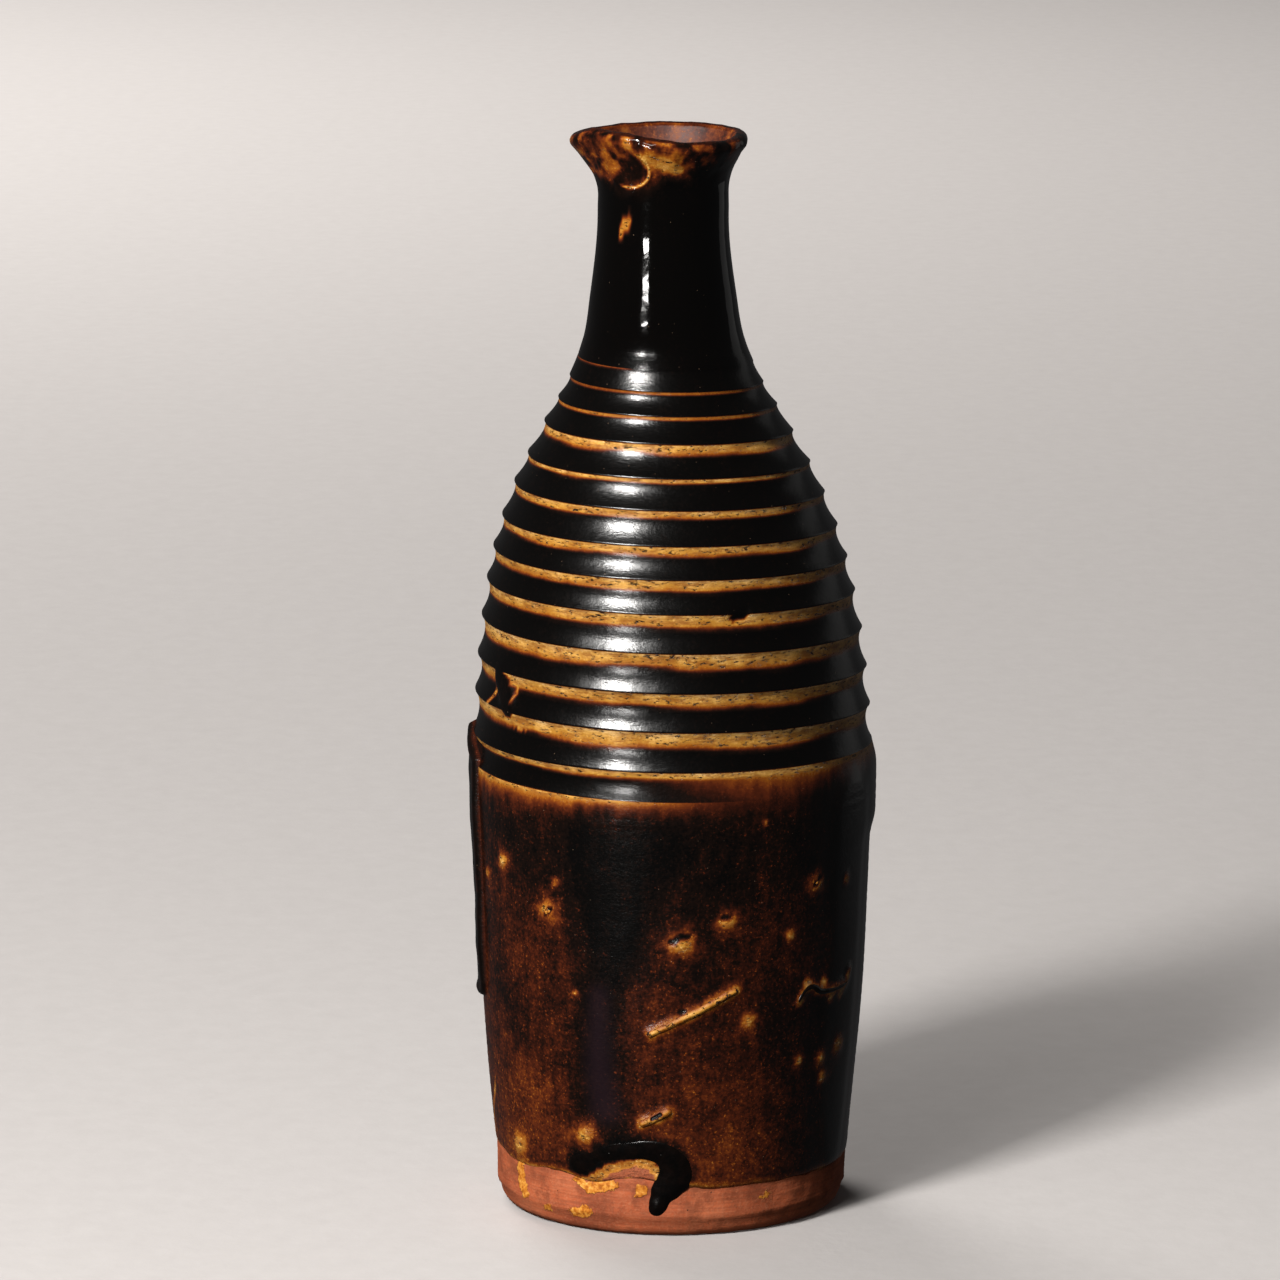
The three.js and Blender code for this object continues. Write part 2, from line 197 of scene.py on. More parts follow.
BACK_RUNS = [[(30, 104, 6), (31, 60, 4), (30, 26, 5)], [(92, 106, 10), (93, 70, 6), (94, 40, 6)],
             [(150, 50, 4), (151, 30, 6), (150, 18, 4)]]
TEAR = [(-120.8, 17.5, 2.6), (-116, 19.4, 2.1), (-111, 21.2, 2.3), (-102, 22.6, 2.3), (-95, 22.5, 2.6),
        (-90.5, 20.6, 3.2), (-88.6, 17.0, 4.1), (-89.8, 14.2, 3.8), (-92.8, 11.4, 2.9), (-94.7, 7.8, 2.2)]
BARE_PATCH = [(-111, 14.2, 1.6), (-104, 15.2, 2.0), (-99, 15.6, 2.4), (-97, 13.5, 1.8)]
FLAKES = [[(-148, 13.5, 1.8), (-148.5, 10, 1.5), (-146, 6.6, 1.5)],
          [(-121, 13.2, 1.1), (-116.5, 11.6, 1.3), (-108, 13.4, 0.8)],
          [(-124, 4.6, 0.9), (-119, 5.4, 1.3)], [(-136, 4.2, 0.6), (-134, 4.6, 0.8)],
          [(-60, 9, 0.5), (-57, 9.4, 0.6)], [(-101, 10.8, 0.6), (-99.5, 12.4, 1.0)],
          [(30, 12.5, 1.3), (38, 9, 1.6)], [(100, 13, 1.6), (106, 8, 1.4), (104, 5, 1.0)],
          [(140, 6, 1.2), (147, 7, 1.4)]]
FILLED_GROOVE = [(-152, 137.5, 2.6), (-148, 134, 3.2), (-146, 130.5, 2.0)]
FINGER_MARK = (-120.5, 262.6, 4.4)
DRIP_BEAD = (-118, 256.6, 1.5)
CRAWL = [(-119, 13.4, 1.3), (-112, 15.6, 2.3), (-104, 16.9, 2.9), (-97, 17.2, 3.0), (-95.5, 14.0, 1.8)]
LEFT_STREAK = [(-163, 34, 0.5), (-166, 29, 1.1), (-171, 23, 0.8), (-174, 17, 1.5), (-178, 13.5, 1.1)]
ORANGE_PATCH = [(-104, 265.4, 1.2), (-96, 264.6, 2.4), (-86, 263.9, 2.3), (-77, 263.0, 1.4)]
NECK_PATCH = [(-121, 251.2, 0.6), (-124.5, 249.2, 1.6), (-128.5, 246.8, 1.0), (-131, 245.4, 0.4)]
SLITS = [[(-91, 76.4, 0.30), (-88, 77.7, 0.42), (-85.5, 78.2, 0.25)], [(-76, 82.4, 0.2), (-73, 83.0, 0.32)],
         [(-45.5, 87.4, 0.2), (-42.5, 89.6, 0.3)], [(-130, 80.6, 0.2), (-128, 82.6, 0.3)],
         [(-88.4, 58.3, 0.35), (-87, 58.7, 0.35)], [(-96, 31.2, 0.2), (-93.5, 32.4, 0.25)]]
NICK = [(-70, 156.4, 0.9), (-67, 156.9, 0.8), (-65.3, 158.0, 0.35)]
TORN_GLAZE = [[(-152, 128.0, 0.7), (-147, 127.6, 1.1), (-141, 126.8, 0.9), (-136, 126.9, 0.5)],
              [(-158.5, 130.5, 0.5), (-155.5, 133.5, 0.7), (-155.5, 138.5, 0.6)],
              [(-144.5, 132.5, 0.3), (-143, 135.5, 0.6), (-144.5, 138.5, 0.4)]]

# Strokes that stand out of the wall or are cut into it: path, height, inner and outer edge of the slope.
RAISED = [(LONG_SLIVER, 0.6, -0.8, 1.2), (SHORT_SLIVER, 0.6, -0.8, 1.1), (SCAR, 0.5, -0.6, 1.8),
          (FRONT_RUN, 0.20, -4, 3), (RIGHT_RUN, 0.35, -3, 3)]
RAISED += [(path, 0.35, -3, 3) for path in BACK_RUNS]
RAISED += [(path, -0.5, -0.2, 0.5) for path in SLITS + [NICK]]

# Strokes of thin glaze: path, how thin, inner and outer edge; reach, grain and seed of the ragged edge.
THIN_STROKES = [(CRAWL, 0.80, -0.7, 0.5, 0.8, 1.7, 14), (LEFT_STREAK, 0.74, -0.8, 1.0, 0.9, 2.4, 15),
                (ORANGE_PATCH, 0.80, -0.9, 0.8, 0.7, 1.8, 16), (NECK_PATCH, 0.74, -0.5, 0.5, 0.35, 1.1, 17)]
THIN_STROKES += [(path, 0.80, -0.5, 0.5, 0.9, 1.2, 19) for path in TORN_GLAZE]
# Strokes where the glaze pools black, with the same columns.
POOLS = [(NICK, 0.02, -0.4, 0.3, 0.3, 1.1, 28), (FILLED_GROOVE, 0.03, -0.5, 0.5, 0.7, 1.8, 18)]


def around(angle, height, angle_0):
    """Distance round the wall from an angle, in millimetres."""
    return np.radians(wrapped(angle - angle_0)) * outside_radius(height)


def spot(angle, height, mark):
    """Distance from the centre of a mark."""
    return np.hypot(around(angle, height, mark[0]), height - mark[1])


def rounded_path(path, steps=6):
    """More points along a path, so that its corners are round."""
    if len(path) < 3:
        return path
    at = np.linspace(0, len(path) - 1, steps * (len(path) - 1) + 1)
    return list(zip(*(smooth_curve(range(len(path)), column)(at) for column in zip(*path))))


def stroke(angle, height, path):
    """Signed distance to a stroke whose width changes along it, negative inside."""
    path = rounded_path(path)
    best = np.full(np.broadcast(angle, height).shape, 1e3)
    for (a0, z0, r0), (a1, z1, r1) in zip(path, path[1:]):
        x, y = around(angle, height, a0), height - z0
        dx, dy = math.radians(a1 - a0) * float(outside_radius((z0 + z1) / 2)), z1 - z0
        t = np.clip((x * dx + y * dy) / (dx * dx + dy * dy), 0, 1)
        best = np.minimum(best, np.hypot(x - t * dx, y - t * dy) - lerp(r0, r1, t))
    return best


def finger_ring(angle, height):
    """Distance outside the ring left by a fingertip, and how far a point lies on its bright side."""
    across, up = around(angle, height, FINGER_MARK[0]) / 1.3, height - FINGER_MARK[1]
    return np.hypot(across, up) - FINGER_MARK[2], np.cos(np.arctan2(up, across) + 0.5)


# ---- The outer glaze surface -----------------------------------------------------------------------

TURNS = len(RIDGE_HEIGHTS) - 1
PHASES = [0, 0.03, 0.09, 0.18, 0.28, 0.38, 0.5, 0.62, 0.74, 0.86, 0.96]


def ridge_height(turn):
    turn = np.clip(turn, 0, TURNS)
    whole = np.minimum(np.floor(turn), TURNS - 1).astype(int)
    part = turn - whole
    share = part - RIDGE_SKEW * (1 - np.cos(2 * np.pi * part)) / 2
    heights = np.array(RIDGE_HEIGHTS)
    return lerp(heights[whole], heights[whole + 1], share)


def stepped(values):
    """Values that hold along the front of each turn and change round the back."""
    curve = smooth_curve(range(len(values)), values)

    def value(turn):
        whole = np.floor(turn)
        return curve(whole + smoothstep(0.55, 0.95, turn - whole))

    return value


groove_depth_at = stepped(GROOVE_DEPTHS)
thin_width_at = stepped(THIN_WIDTHS)


class Wall:
    """Rows of the outer surface, bottom to top, with the turn and phase of the groove at each point."""

    def __init__(self, shares, rows):
        self.shares = shares
        columns = zip(*[np.broadcast_arrays(*row, shares)[:4] for row in rows])
        self.radius, self.height, self.turn, self.phase = (np.array(c, float) for c in columns)
        self.angle = np.broadcast_to(180 + 360 * shares, self.radius.shape)


def outer_rows(shares):
    lowest, highest = RIDGE_HEIGHTS[-1], RIDGE_HEIGHTS[0]
    rows = [(outside_radius(height), height, TURNS, 0) for height in np.linspace(GLAZE_LINE, lowest, 82)]
    for ring in range(TURNS - 1, -1, -1):
        turn = ring + shares
        top, below = ridge_height(turn), ridge_height(turn + 1)
        opened = np.minimum(turn, 1)
        for phase in reversed(PHASES):
            height = lerp(top, below, phase * opened)
            rows.append((outside_radius(height), height, turn, phase))
    neck = np.linspace(highest, 254, 18)
    flare = np.linspace(254.5, OUTSIDE_HEIGHTS[-1], 24)
    rows += [(outside_radius(height), height, 0, 0) for height in np.concatenate([neck, flare])]
    centre = HEIGHT - LIP_BEAD
    for angle in np.radians(np.linspace(LIP_START, 178, 16)):
        rows.append((LIP_RADIUS + LIP_BEAD * math.cos(angle), centre + LIP_BEAD * math.sin(angle), 0, 0))
    rows += [(radius, height, 0, 0) for radius, height in INNER_LIP]
    return Wall(shares, rows)


def rows_from_end(wall):
    """Row numbers counted back from the end of the lip, whose last row is -1."""
    return np.arange(len(wall.height))[:, None] - len(wall.height)


def groove_profile(wall):
    """Depth of the groove and the distance below the ridge above, at every point."""
    pitch = ridge_height(wall.turn) - ridge_height(wall.turn + 1)
    below_ridge = wall.phase * pitch
    fade = smoothstep(FIRST_TURN, FIRST_TURN + FADE_IN, wall.turn)
    fade = fade * falloff(LAST_TURN - FADE_OUT, LAST_TURN, wall.turn)
    fade = fade * (wall.turn < TURNS)
    depth = groove_depth_at(wall.turn)
    # the scoop is deepest close under its ridge, and more so on the steep shoulder
    across = wall.phase ** lerp(0.62, 0.82, smoothstep(3, 10, wall.turn))
    shape = 4 * across * (1 - across)
    return depth * shape * fade, below_ridge


def surface_normals(radius, height):
    """Outward direction of a profile in the (radius, height) plane, row by row."""
    along_r = np.gradient(radius, axis=0)
    along_z = np.gradient(height, axis=0)
    length = np.maximum(np.hypot(along_r, along_z), 1e-6)
    return along_z / length, -along_r / length


def wall_relief(wall, base):
    """Everything that stands out of the turned wall, in millimetres outwards."""
    angle, height = wall.angle, wall.height
    below_neck = falloff(214, 222, height)
    smooth_wall = falloff(104, 112, height)
    relief = 0.22 * field(base, 42, 1) + 0.05 * field(base, 9, 2) * below_neck
    relief += 0.035 * np.sin(height * 2.4 + 1.5 * np.sin(np.radians(angle))) * smooth_wall
    for mark in BURSTS:
        d = spot(angle, height, mark)
        relief += mark[3] * np.exp(-(d / mark[2]) ** 2)
    for path, lift, inner, outer in RAISED:
        relief += lift * falloff(inner, outer, stroke(angle, height, path))
    neck = smoothstep(214, 226, height) * falloff(252, 258, height)
    relief += neck * 0.03 * field(base, 15, 21)
    relief += 0.65 * np.exp(-(spot(angle, height, DRIP_BEAD) / DRIP_BEAD[2]) ** 2)
    relief += 1.1 * np.exp(-(wrapped(angle - 2) / 17) ** 2) * smoothstep(93, 100, height) * (
        falloff(112, 119, height))
    lip = smoothstep(255, 262, height)
    front_lip = np.exp(-((wrapped(angle) + 118) / 38) ** 2)
    lumps = field(base, 3.4, 3) + 0.7 * np.maximum(field(base, 1.9, 4), 0)
    relief += lip * (0.16 + 0.30 * front_lip) * lumps
    ring, _ = finger_ring(angle, height)
    relief += 0.26 * np.exp(-(ring / 0.6) ** 2) - 0.22 * falloff(-2.5, 0, ring)
    return relief


def band_thinness(drop, width):
    """Thin glaze below a ridge: a pale lip where the glaze breaks thin at the crest, with a highlight line
    painted along it, tan going to orange, then a quick fall into black.
    """
    across = np.clip(drop / np.maximum(width, 1e-3), 0, 2)
    # painted highlight: the top of the band is drawn paler as a highlight line along the ridge crest, over
    # the real thin glaze there
    tone_and_crest_highlight = 0.94 - 0.10 * smoothstep(0.05, 0.30, across) - 0.14 * smoothstep(0.35, 1.0, across)
    top = smoothstep(0.0, 0.18, drop)
    bottom = falloff(0.74, 1.20, across)
    return tone_and_crest_highlight * top * bottom


def fade_below(wall, ridge, lower, base):
    """Glaze that thickens slowly below the last ridge, from amber into the brown of the wall."""
    turn = ridge + wall.shares
    drop = ridge_height(np.broadcast_to(turn, wall.height.shape)) - wall.height
    present = smoothstep(13.17, 13.34, turn) * falloff(14.20, 14.33, turn)
    drips = field(base * np.array([1, 1, 0.3]), 1.6, 27)
    reach = (3.6 + 1.3 * falloff(13.9, 14.2, turn)) * (1 + 0.30 * field(base, 10, 8) + 0.35 * drips)
    amount = np.exp(-(np.maximum(drop, 0) / np.maximum(reach, 0.5)) ** 1.2) * smoothstep(-0.05, 0.2, drop)
    return lerp(lower, 0.88, amount * present)


def lower_thinness(angle, height, base):
    """Brown glaze of the lower wall, thicker in the runs and round the tear."""
    front = wrapped(angle)
    clouds = field(base, 24, 5, 3)
    lower = 0.31 - 0.14 * smoothstep(62, 106, height) + 0.12 * clouds
    lower += 0.05 * smoothstep(58, 34, height) - 0.05 * np.exp(-((front + 84) / 22) ** 2) * (height > 40)
    lower += 0.05 * np.exp(-((height - 20) / 7) ** 2)
    lower -= 0.12 * smoothstep(-66, -38, front) * falloff(10, 40, front)
    for path, strength in [(FRONT_RUN, 0.24), (RIGHT_RUN, 0.12)] + [(p, 0.2) for p in BACK_RUNS]:
        lower -= strength * falloff(-5, 6, stroke(angle, height, path))
    lower -= 0.25 * falloff(0, 2.2, stroke(angle, height, TEAR))
    return np.clip(lower, 0.02, 1)


def add_bands(lower, wall, base, below_ridge):
    """Black glaze in the grooves, amber under each ridge."""
    # the black ribs reach down to the last ridge that stands clear of the wall
    on_ribs = np.where(wall.height > RIDGE_HEIGHTS[0], 1, falloff(13.15, 13.32, wall.turn))
    thin = lerp(lower, 0.0, on_ribs)
    width = thin_width_at(wall.turn) * (1 + 0.22 * field(base, 16, 6) + 0.05 * field(base, 3, 23))
    gone = smoothstep(1.17, 1.22, wall.turn) * falloff(1.6, 1.85, wall.turn)
    faint = 0.70 + 0.14 * smoothstep(1.9, 2.6, wall.turn) + 0.16 * smoothstep(3.4, 4.0, wall.turn)
    faint = faint + 0.10 * field(base, 6, 24, 2)
    bands = band_thinness(below_ridge, width) * smoothstep(0.95, 1.0, wall.turn) * (1 - gone) * faint
    thin = np.maximum(thin, bands * falloff(13.3, 13.5, wall.turn))
    for ridge in (13, 14):
        thin = np.maximum(thin, fade_below(wall, ridge, thin, base))
    return thin


def add_marks(thin, angle, height, base):
    """Glaze that breaks to amber over stones, slivers, the scar and its own lower edge."""
    for mark in BURSTS:
        d = spot(angle, height, mark) * (1 + 0.45 * field(base, 2.1, 12))
        thin = np.maximum(thin, lerp(thin, 0.56, np.exp(-(d / (1.25 * mark[4])) ** 2)))
        thin = np.maximum(thin, lerp(thin, 0.84, np.exp(-(d / (0.74 * mark[4])) ** 2.4)))
    for path, reach in ((LONG_SLIVER, 1.5), (SHORT_SLIVER, 1.7), (SCAR, 1.2)):
        d = stroke(angle, height, path) + 0.5 * field(base, 1.8, 25)
        thin = np.maximum(thin, lerp(thin, 0.74, falloff(-0.6, reach, d)))
    for path in SLITS:
        thin = lerp(thin, 0.02, falloff(-0.1, 0.5, stroke(angle, height, path)))
    for mark in SCAR_PATCHES:
        d = spot(angle, height, mark) * (1 + 0.4 * field(base, 2.1, 12))
        thin = np.maximum(thin, 0.90 * np.exp(-(d / (1.3 * mark[2])) ** 3))
    line = height - GLAZE_LINE
    edge = 0.45 + 0.55 * smoothstep(-0.35, 0.35, field(base, 13, 13))
    return np.maximum(thin, lerp(thin, 0.92, edge * falloff(0.7, 1.8, line)))


def add_lip(thin, wall, base):
    """Clouded amber glaze of the lip and the mouth."""
    front = wrapped(wall.angle)
    back_left = falloff(120, 175, front)
    lowered = 3.0 * smoothstep(-112, -90, front) * back_left
    lip = smoothstep(254.5, 262.5, wall.height + 2.0 * field(base, 6, 9) - lowered)
    lip_glaze = 0.24 + 0.48 * smoothstep(-0.42, 0.42, field(base, 4.0, 10, 3))
    lip_glaze -= 0.18 * smoothstep(-95, -50, front) * back_left
    lip_glaze -= 0.10 * smoothstep(-120, -134, front) * smoothstep(-179, -162, front)
    thin = lerp(thin, np.clip(lip_glaze, 0.02, 0.9), lip)
    rows = rows_from_end(wall)
    thin = np.where((rows >= -14) & (rows < -9), np.minimum(thin, 0.30), thin)
    return np.where(rows >= -9, 0.46 + 0.2 * field(base, 3, 22), thin)


def glaze_thinness(wall, base, below_ridge):
    """How thin the glaze lies, from 0, a black pool, to 1, pale amber over bare clay."""
    angle, height = wall.angle, wall.height
    thin = add_bands(lower_thinness(angle, height, base), wall, base, below_ridge)
    thin = add_lip(add_marks(thin, angle, height, base), wall, base)
    for path, value, inner, outer, ragged, grain, seed in POOLS:
        edge = stroke(angle, height, path) + ragged * field(base, grain, seed)
        thin = lerp(thin, value, falloff(inner, outer, edge))
    for path, value, inner, outer, ragged, grain, seed in THIN_STROKES:
        edge = stroke(angle, height, path) + ragged * field(base, grain, seed)
        thin = np.maximum(thin, value * falloff(inner, outer, edge))
    ring, toward = finger_ring(angle, height)
    thin = lerp(thin, 0.16, falloff(-1.8, -0.4, ring) * smoothstep(-0.9, 0.1, toward))
    thin = np.maximum(thin, 0.97 * np.exp(-(ring / 0.42) ** 2) * smoothstep(-0.25, 0.4, toward))
    return np.clip(thin, 0, 1)


def put_in_scene(name, data):
    """New object that shows a mesh, a light or a camera."""
    thing = bpy.data.objects.new(name, data)
    bpy.context.scene.collection.objects.link(thing)
    return thing


def add_object(name, mesh):
    """Smooth-shaded object made of a mesh."""
    mesh.validate()
    mesh.polygons.foreach_set("use_smooth", [True] * len(mesh.polygons))
    return put_in_scene(name, mesh)


def add_shape(name, points, faces, values):
    """Object from points in millimetres; `values` are numbers at each point for the materials to read."""
    mesh = bpy.data.meshes.new(name)
    mesh.from_pydata((points * MM).tolist(), [], faces)
    for key, value in values.items():
        layer = mesh.attributes.new(key, "FLOAT", "POINT")
        layer.data.foreach_set("value", value.astype(np.float32))
    return add_object(name, mesh)


def make_surface(name, grid, values, closed=True):
    """Mesh of a grid of points whose rows close on themselves; points that coincide are welded."""
    rows, columns = grid.shape[:2]
    keys = np.round(grid.reshape(-1, 3) / 1e-3).astype(np.int64)
    _, first, owner = np.unique(keys, axis=0, return_index=True, return_inverse=True)
    owner = owner.reshape(rows, columns)
    count = rows if closed else rows - 1
    following = (np.arange(count) + 1) % rows
    a, b = owner[:count, :-1], owner[:count, 1:]
    c, d = owner[following, 1:], owner[following, :-1]
    quads = np.stack([a, b, c, d], axis=-1).reshape(-1, 4)
    faces = []
    for quad in quads.tolist():
        corners = [v for i, v in enumerate(quad) if v != quad[i - 1]]
        if len(set(corners)) == len(corners) >= 3:
            faces.append(corners)
    welded = {key: value.reshape(-1)[first] for key, value in values.items()}
    return add_shape(name, grid.reshape(-1, 3)[first], faces, welded)


def skin_depth(height):
    """How far the hidden side of the outer glaze lies inside the wall."""
    return float(GLAZE_THICKNESS + 1.5 * smoothstep(13.5, 18, height) * falloff(214, 226, height))


def make_outer_glaze():
    front = np.linspace(0, 0.5, FRONT_COLUMNS, endpoint=False)
    shares = np.concatenate([front, np.linspace(0.5, 1, BACK_COLUMNS + 1)])
    wall = outer_rows(shares)
    depth, below_ridge = groove_profile(wall)
    normal_r, normal_z = surface_normals(wall.radius, wall.height)
    base = turned(wall.angle, wall.radius, wall.height)
    filled = falloff(-0.8, 1.2, stroke(wall.angle, wall.height, FILLED_GROOVE))
    out = wall_relief(wall, base) - depth * (1 - 0.9 * filled)
    out *= smoothstep(-0.5, 1.5, wall.height - GLAZE_LINE)
    out = np.where(rows_from_end(wall) >= -6, out * 0.3, out)
    near_line = falloff(0, 12, wall.height - GLAZE_LINE)
    drop = line_height(wrapped(wall.angle)) - GLAZE_LINE + 0.35 * field(base, 5, 11, 2)
    height = wall.height + normal_z * out + drop * near_line
    radius = wall.radius + normal_r * out
    radius[0] -= GLAZE_THICKNESS
    radius[1] -= 0.08
    points = settle(wall.angle, radius, height)
    values = {"thin": glaze_thinness(wall, base, below_ridge), "mottle": glaze_mottle(wall),
              "gloss": glaze_gloss(wall), "bare": bare_clay_shown(wall, base), "painted_violet_sheen": painted_violet_sheen_on_run(wall)}
    # the hidden inner side, from its upper end back down to its lower end
    backing = [256, 240, 225, 214, 200, 185, 165, 145, 120, 95, 60, 30, 19, 15.5]
    hidden = [settle(180 + 360 * shares, outside_radius(z) - skin_depth(z), z) for z in backing]
    for key, value in values.items():
        values[key] = np.concatenate([value] + [value[-1:]] * len(backing))
    return make_surface("outer_glaze_skin", np.concatenate([points, np.array(hidden)]), values)


def glaze_mottle(wall):
    """How strongly the glaze breaks up in colour: most on the lower wall, least on the neck."""
    lower = falloff(103, 112, wall.height)
    lip = smoothstep(254, 262, wall.height)
    ribs = smoothstep(103, 112, wall.height) * falloff(212, 222, wall.height)
    return np.maximum(lower, 0.6 * lip) + 0.10 + 0.26 * ribs


def bare_clay_shown(wall, base):
    """Where the glaze has crawled back off the clay, inside the arch of the tear."""
    patch = stroke(wall.angle, wall.height, BARE_PATCH) + 0.9 * field(base, 2.0, 20)
    return falloff(-0.5, 0.5, patch)


def painted_violet_sheen_on_run(wall):
    """Where a faint violet sheen is painted into the colour, low on the dark run at the front."""
    run = stroke(wall.angle, wall.height, [(-112, 62, 2.0), (-112.5, 45, 3.2), (-111, 33, 3.6)])
    return falloff(-3.2, 3.2, run)


def glaze_gloss(wall):
    """Roughness of the glaze: the neck is a mirror, the ribs, the lower wall and the mouth are softer."""
    height = wall.height
    rough = 0.05 + 0.15 * falloff(212, 222, height) + 0.02 * falloff(95, 112, height)
    return np.where(rows_from_end(wall) >= -7, 0.58, rough)


# ---- Node tools ------------------------------------------------------------------------------------

class Material:
    """Short names for building a node tree; positions are taken in millimetres."""

    def __init__(self, name):
        self.material = bpy.data.materials.new(name)
        self.material.use_nodes = True
        self.tree = self.material.node_tree
        self.shader = self.tree.nodes["Principled BSDF"]
        self.place = self.add("TexCoord").outputs["Object"]
        self.place = self.stretched(1 / MM, 1 / MM, 1 / MM)

    def link(self, value, socket):
        """Join a socket to another one, or give it a constant."""
        if isinstance(value, bpy.types.NodeSocket):
            self.tree.links.new(value, socket)
        elif value is not None:
            socket.default_value = (*value, 1) if socket.type == "RGBA" else value

    def add(self, kind, settings=None, **inputs):
        """New shader node: its settings first, then its inputs by name."""
        node = self.tree.nodes.new("ShaderNode" + kind)
        for key, value in (settings or {}).items():
            setattr(node, key, value)
        for key, value in inputs.items():
            self.link(value, node.inputs[key.replace("_", " ")])
        return node

    def stretched(self, x, y, z):
        """The place with each axis scaled, for patterns that are longer one way."""
        node = self.add("VectorMath", {"operation": "MULTIPLY"})
        self.link(self.place, node.inputs[0])
        self.link((x, y, z), node.inputs[1])
        return node.outputs["Vector"]

    def math(self, operation, *values, clamp=False):
        node = self.add("Math", {"operation": operation, "use_clamp": clamp})
        for value, socket in zip(values, node.inputs):
            self.link(value, socket)
        return node.outputs[0]

    def times(self, a, b):
        return self.math("MULTIPLY", a, b)

    def plus(self, a, b, clamp=False):
        return self.math("ADD", a, b, clamp=clamp)

    def scaled(self, value, factor, offset, clamp=False):
        return self.math("MULTIPLY_ADD", value, factor, offset, clamp=clamp)

    def swing(self, value, size):
        """A pattern from 0 to 1 turned into one about zero."""
        return self.times(self.math("SUBTRACT", value, 0.5), size)

    def noise(self, grain, detail=2.0, roughness=0.5, seed=0.0, place=None):
        node = self.add("TexNoise", {"noise_dimensions": "4D"}, Vector=place or self.place, W=seed,
                        Scale=1 / grain, Detail=detail, Roughness=roughness)
        return node.outputs["Fac"]

    def dots(self, grain, seed, size):
        """Round spots, one to a cell of the pattern: 1 inside them and 0 between."""
        node = self.add("TexVoronoi", {"voronoi_dimensions": "4D"}, Vector=self.place, W=seed,
                        Scale=1 / grain)
        return self.spread(node.outputs["Distance"], 0.05, size, 1.0, 0.0)

    def spread(self, value, low, high, to_low=0.0, to_high=1.0):
        """Smooth step of a value from one range to another."""
        node = self.add("MapRange", {"interpolation_type": "SMOOTHSTEP"}, Value=value, From_Min=low,
                        From_Max=high, To_Min=to_low, To_Max=to_high)
        return node.outputs["Result"]

    def ramp(self, value, stops):
        node = self.add("ValToRGB", Fac=value)
        elements = node.color_ramp.elements
        while len(elements) < len(stops):
            elements.new(1.0)
        for element, (position, colour) in zip(elements, stops):
            element.position = position
            element.color = (*colour, 1)
        return node.outputs["Color"]

    def mix(self, amount, a, b):
        return self.add("Mix", {"data_type": "RGBA"}, Factor=amount, A=a, B=b).outputs["Result"]

    def attribute(self, name):
        return self.add("Attribute", {"attribute_name": name}).outputs["Fac"]

    def bumps(self, *layers):
        """Bumps laid one on another: for each, its pattern and how high that stands in millimetres."""
        normal = None
        for height, distance in layers:
            node = self.add("Bump", Height=height, Distance=distance * MM, Strength=1.0, Normal=normal)
            normal = node.outputs["Normal"]
        return normal

    def finish(self, colour, roughness, normal, level=None):
        """Connect the shader; `level` is how strongly a fired surface shines."""
        inputs = {"Base Color": colour, "Roughness": roughness, "Normal": normal}
        if level is not None:
            inputs.update({"IOR": GLAZE_IOR, "Specular IOR Level": level})
        for key, value in inputs.items():
            self.link(value, self.shader.inputs[key])
        return self.material


PIT_COLOUR = (0.012, 0.005, 0.003)

# Colour of the iron glaze against how thin it lies.
GLAZE_STOPS = [
    (0.00, (0.0009, 0.0007, 0.0006)),
    (0.18, (0.0050, 0.0021, 0.0013)),
    (0.30, (0.0220, 0.0046, 0.0020)),
    (0.42, (0.0600, 0.0110, 0.0032)),
    (0.54, (0.130, 0.028, 0.0042)),
    (0.66, (0.25, 0.075, 0.006)),
    (0.78, (0.40, 0.185, 0.026)),
    (0.88, (0.60, 0.325, 0.080)),
    (1.00, (0.86, 0.56, 0.24)),
]


def glaze_colour(m, thin, mottle):
    """Mottled colour of the glaze, and the fields that its relief and gloss follow."""
    grain = m.noise(0.8, 3, 0.6, seed=1)
    patches = m.noise(3.4, 5, 0.66, seed=2)
    runs = m.noise(3.0, 3, 0.55, seed=3, place=m.stretched(1, 1, 0.16))
    break_up = m.plus(m.swing(grain, 0.48), m.swing(patches, 0.46))
    break_up = m.plus(break_up, m.swing(runs, 0.28))
    specks = m.spread(m.noise(0.62, 2, 0.5, seed=61), 0.58, 0.72, -0.03, 0.17)
    break_up = m.plus(break_up, specks)
    value = m.scaled(break_up, mottle, thin, clamp=True)
    return m.ramp(value, GLAZE_STOPS), value, grain


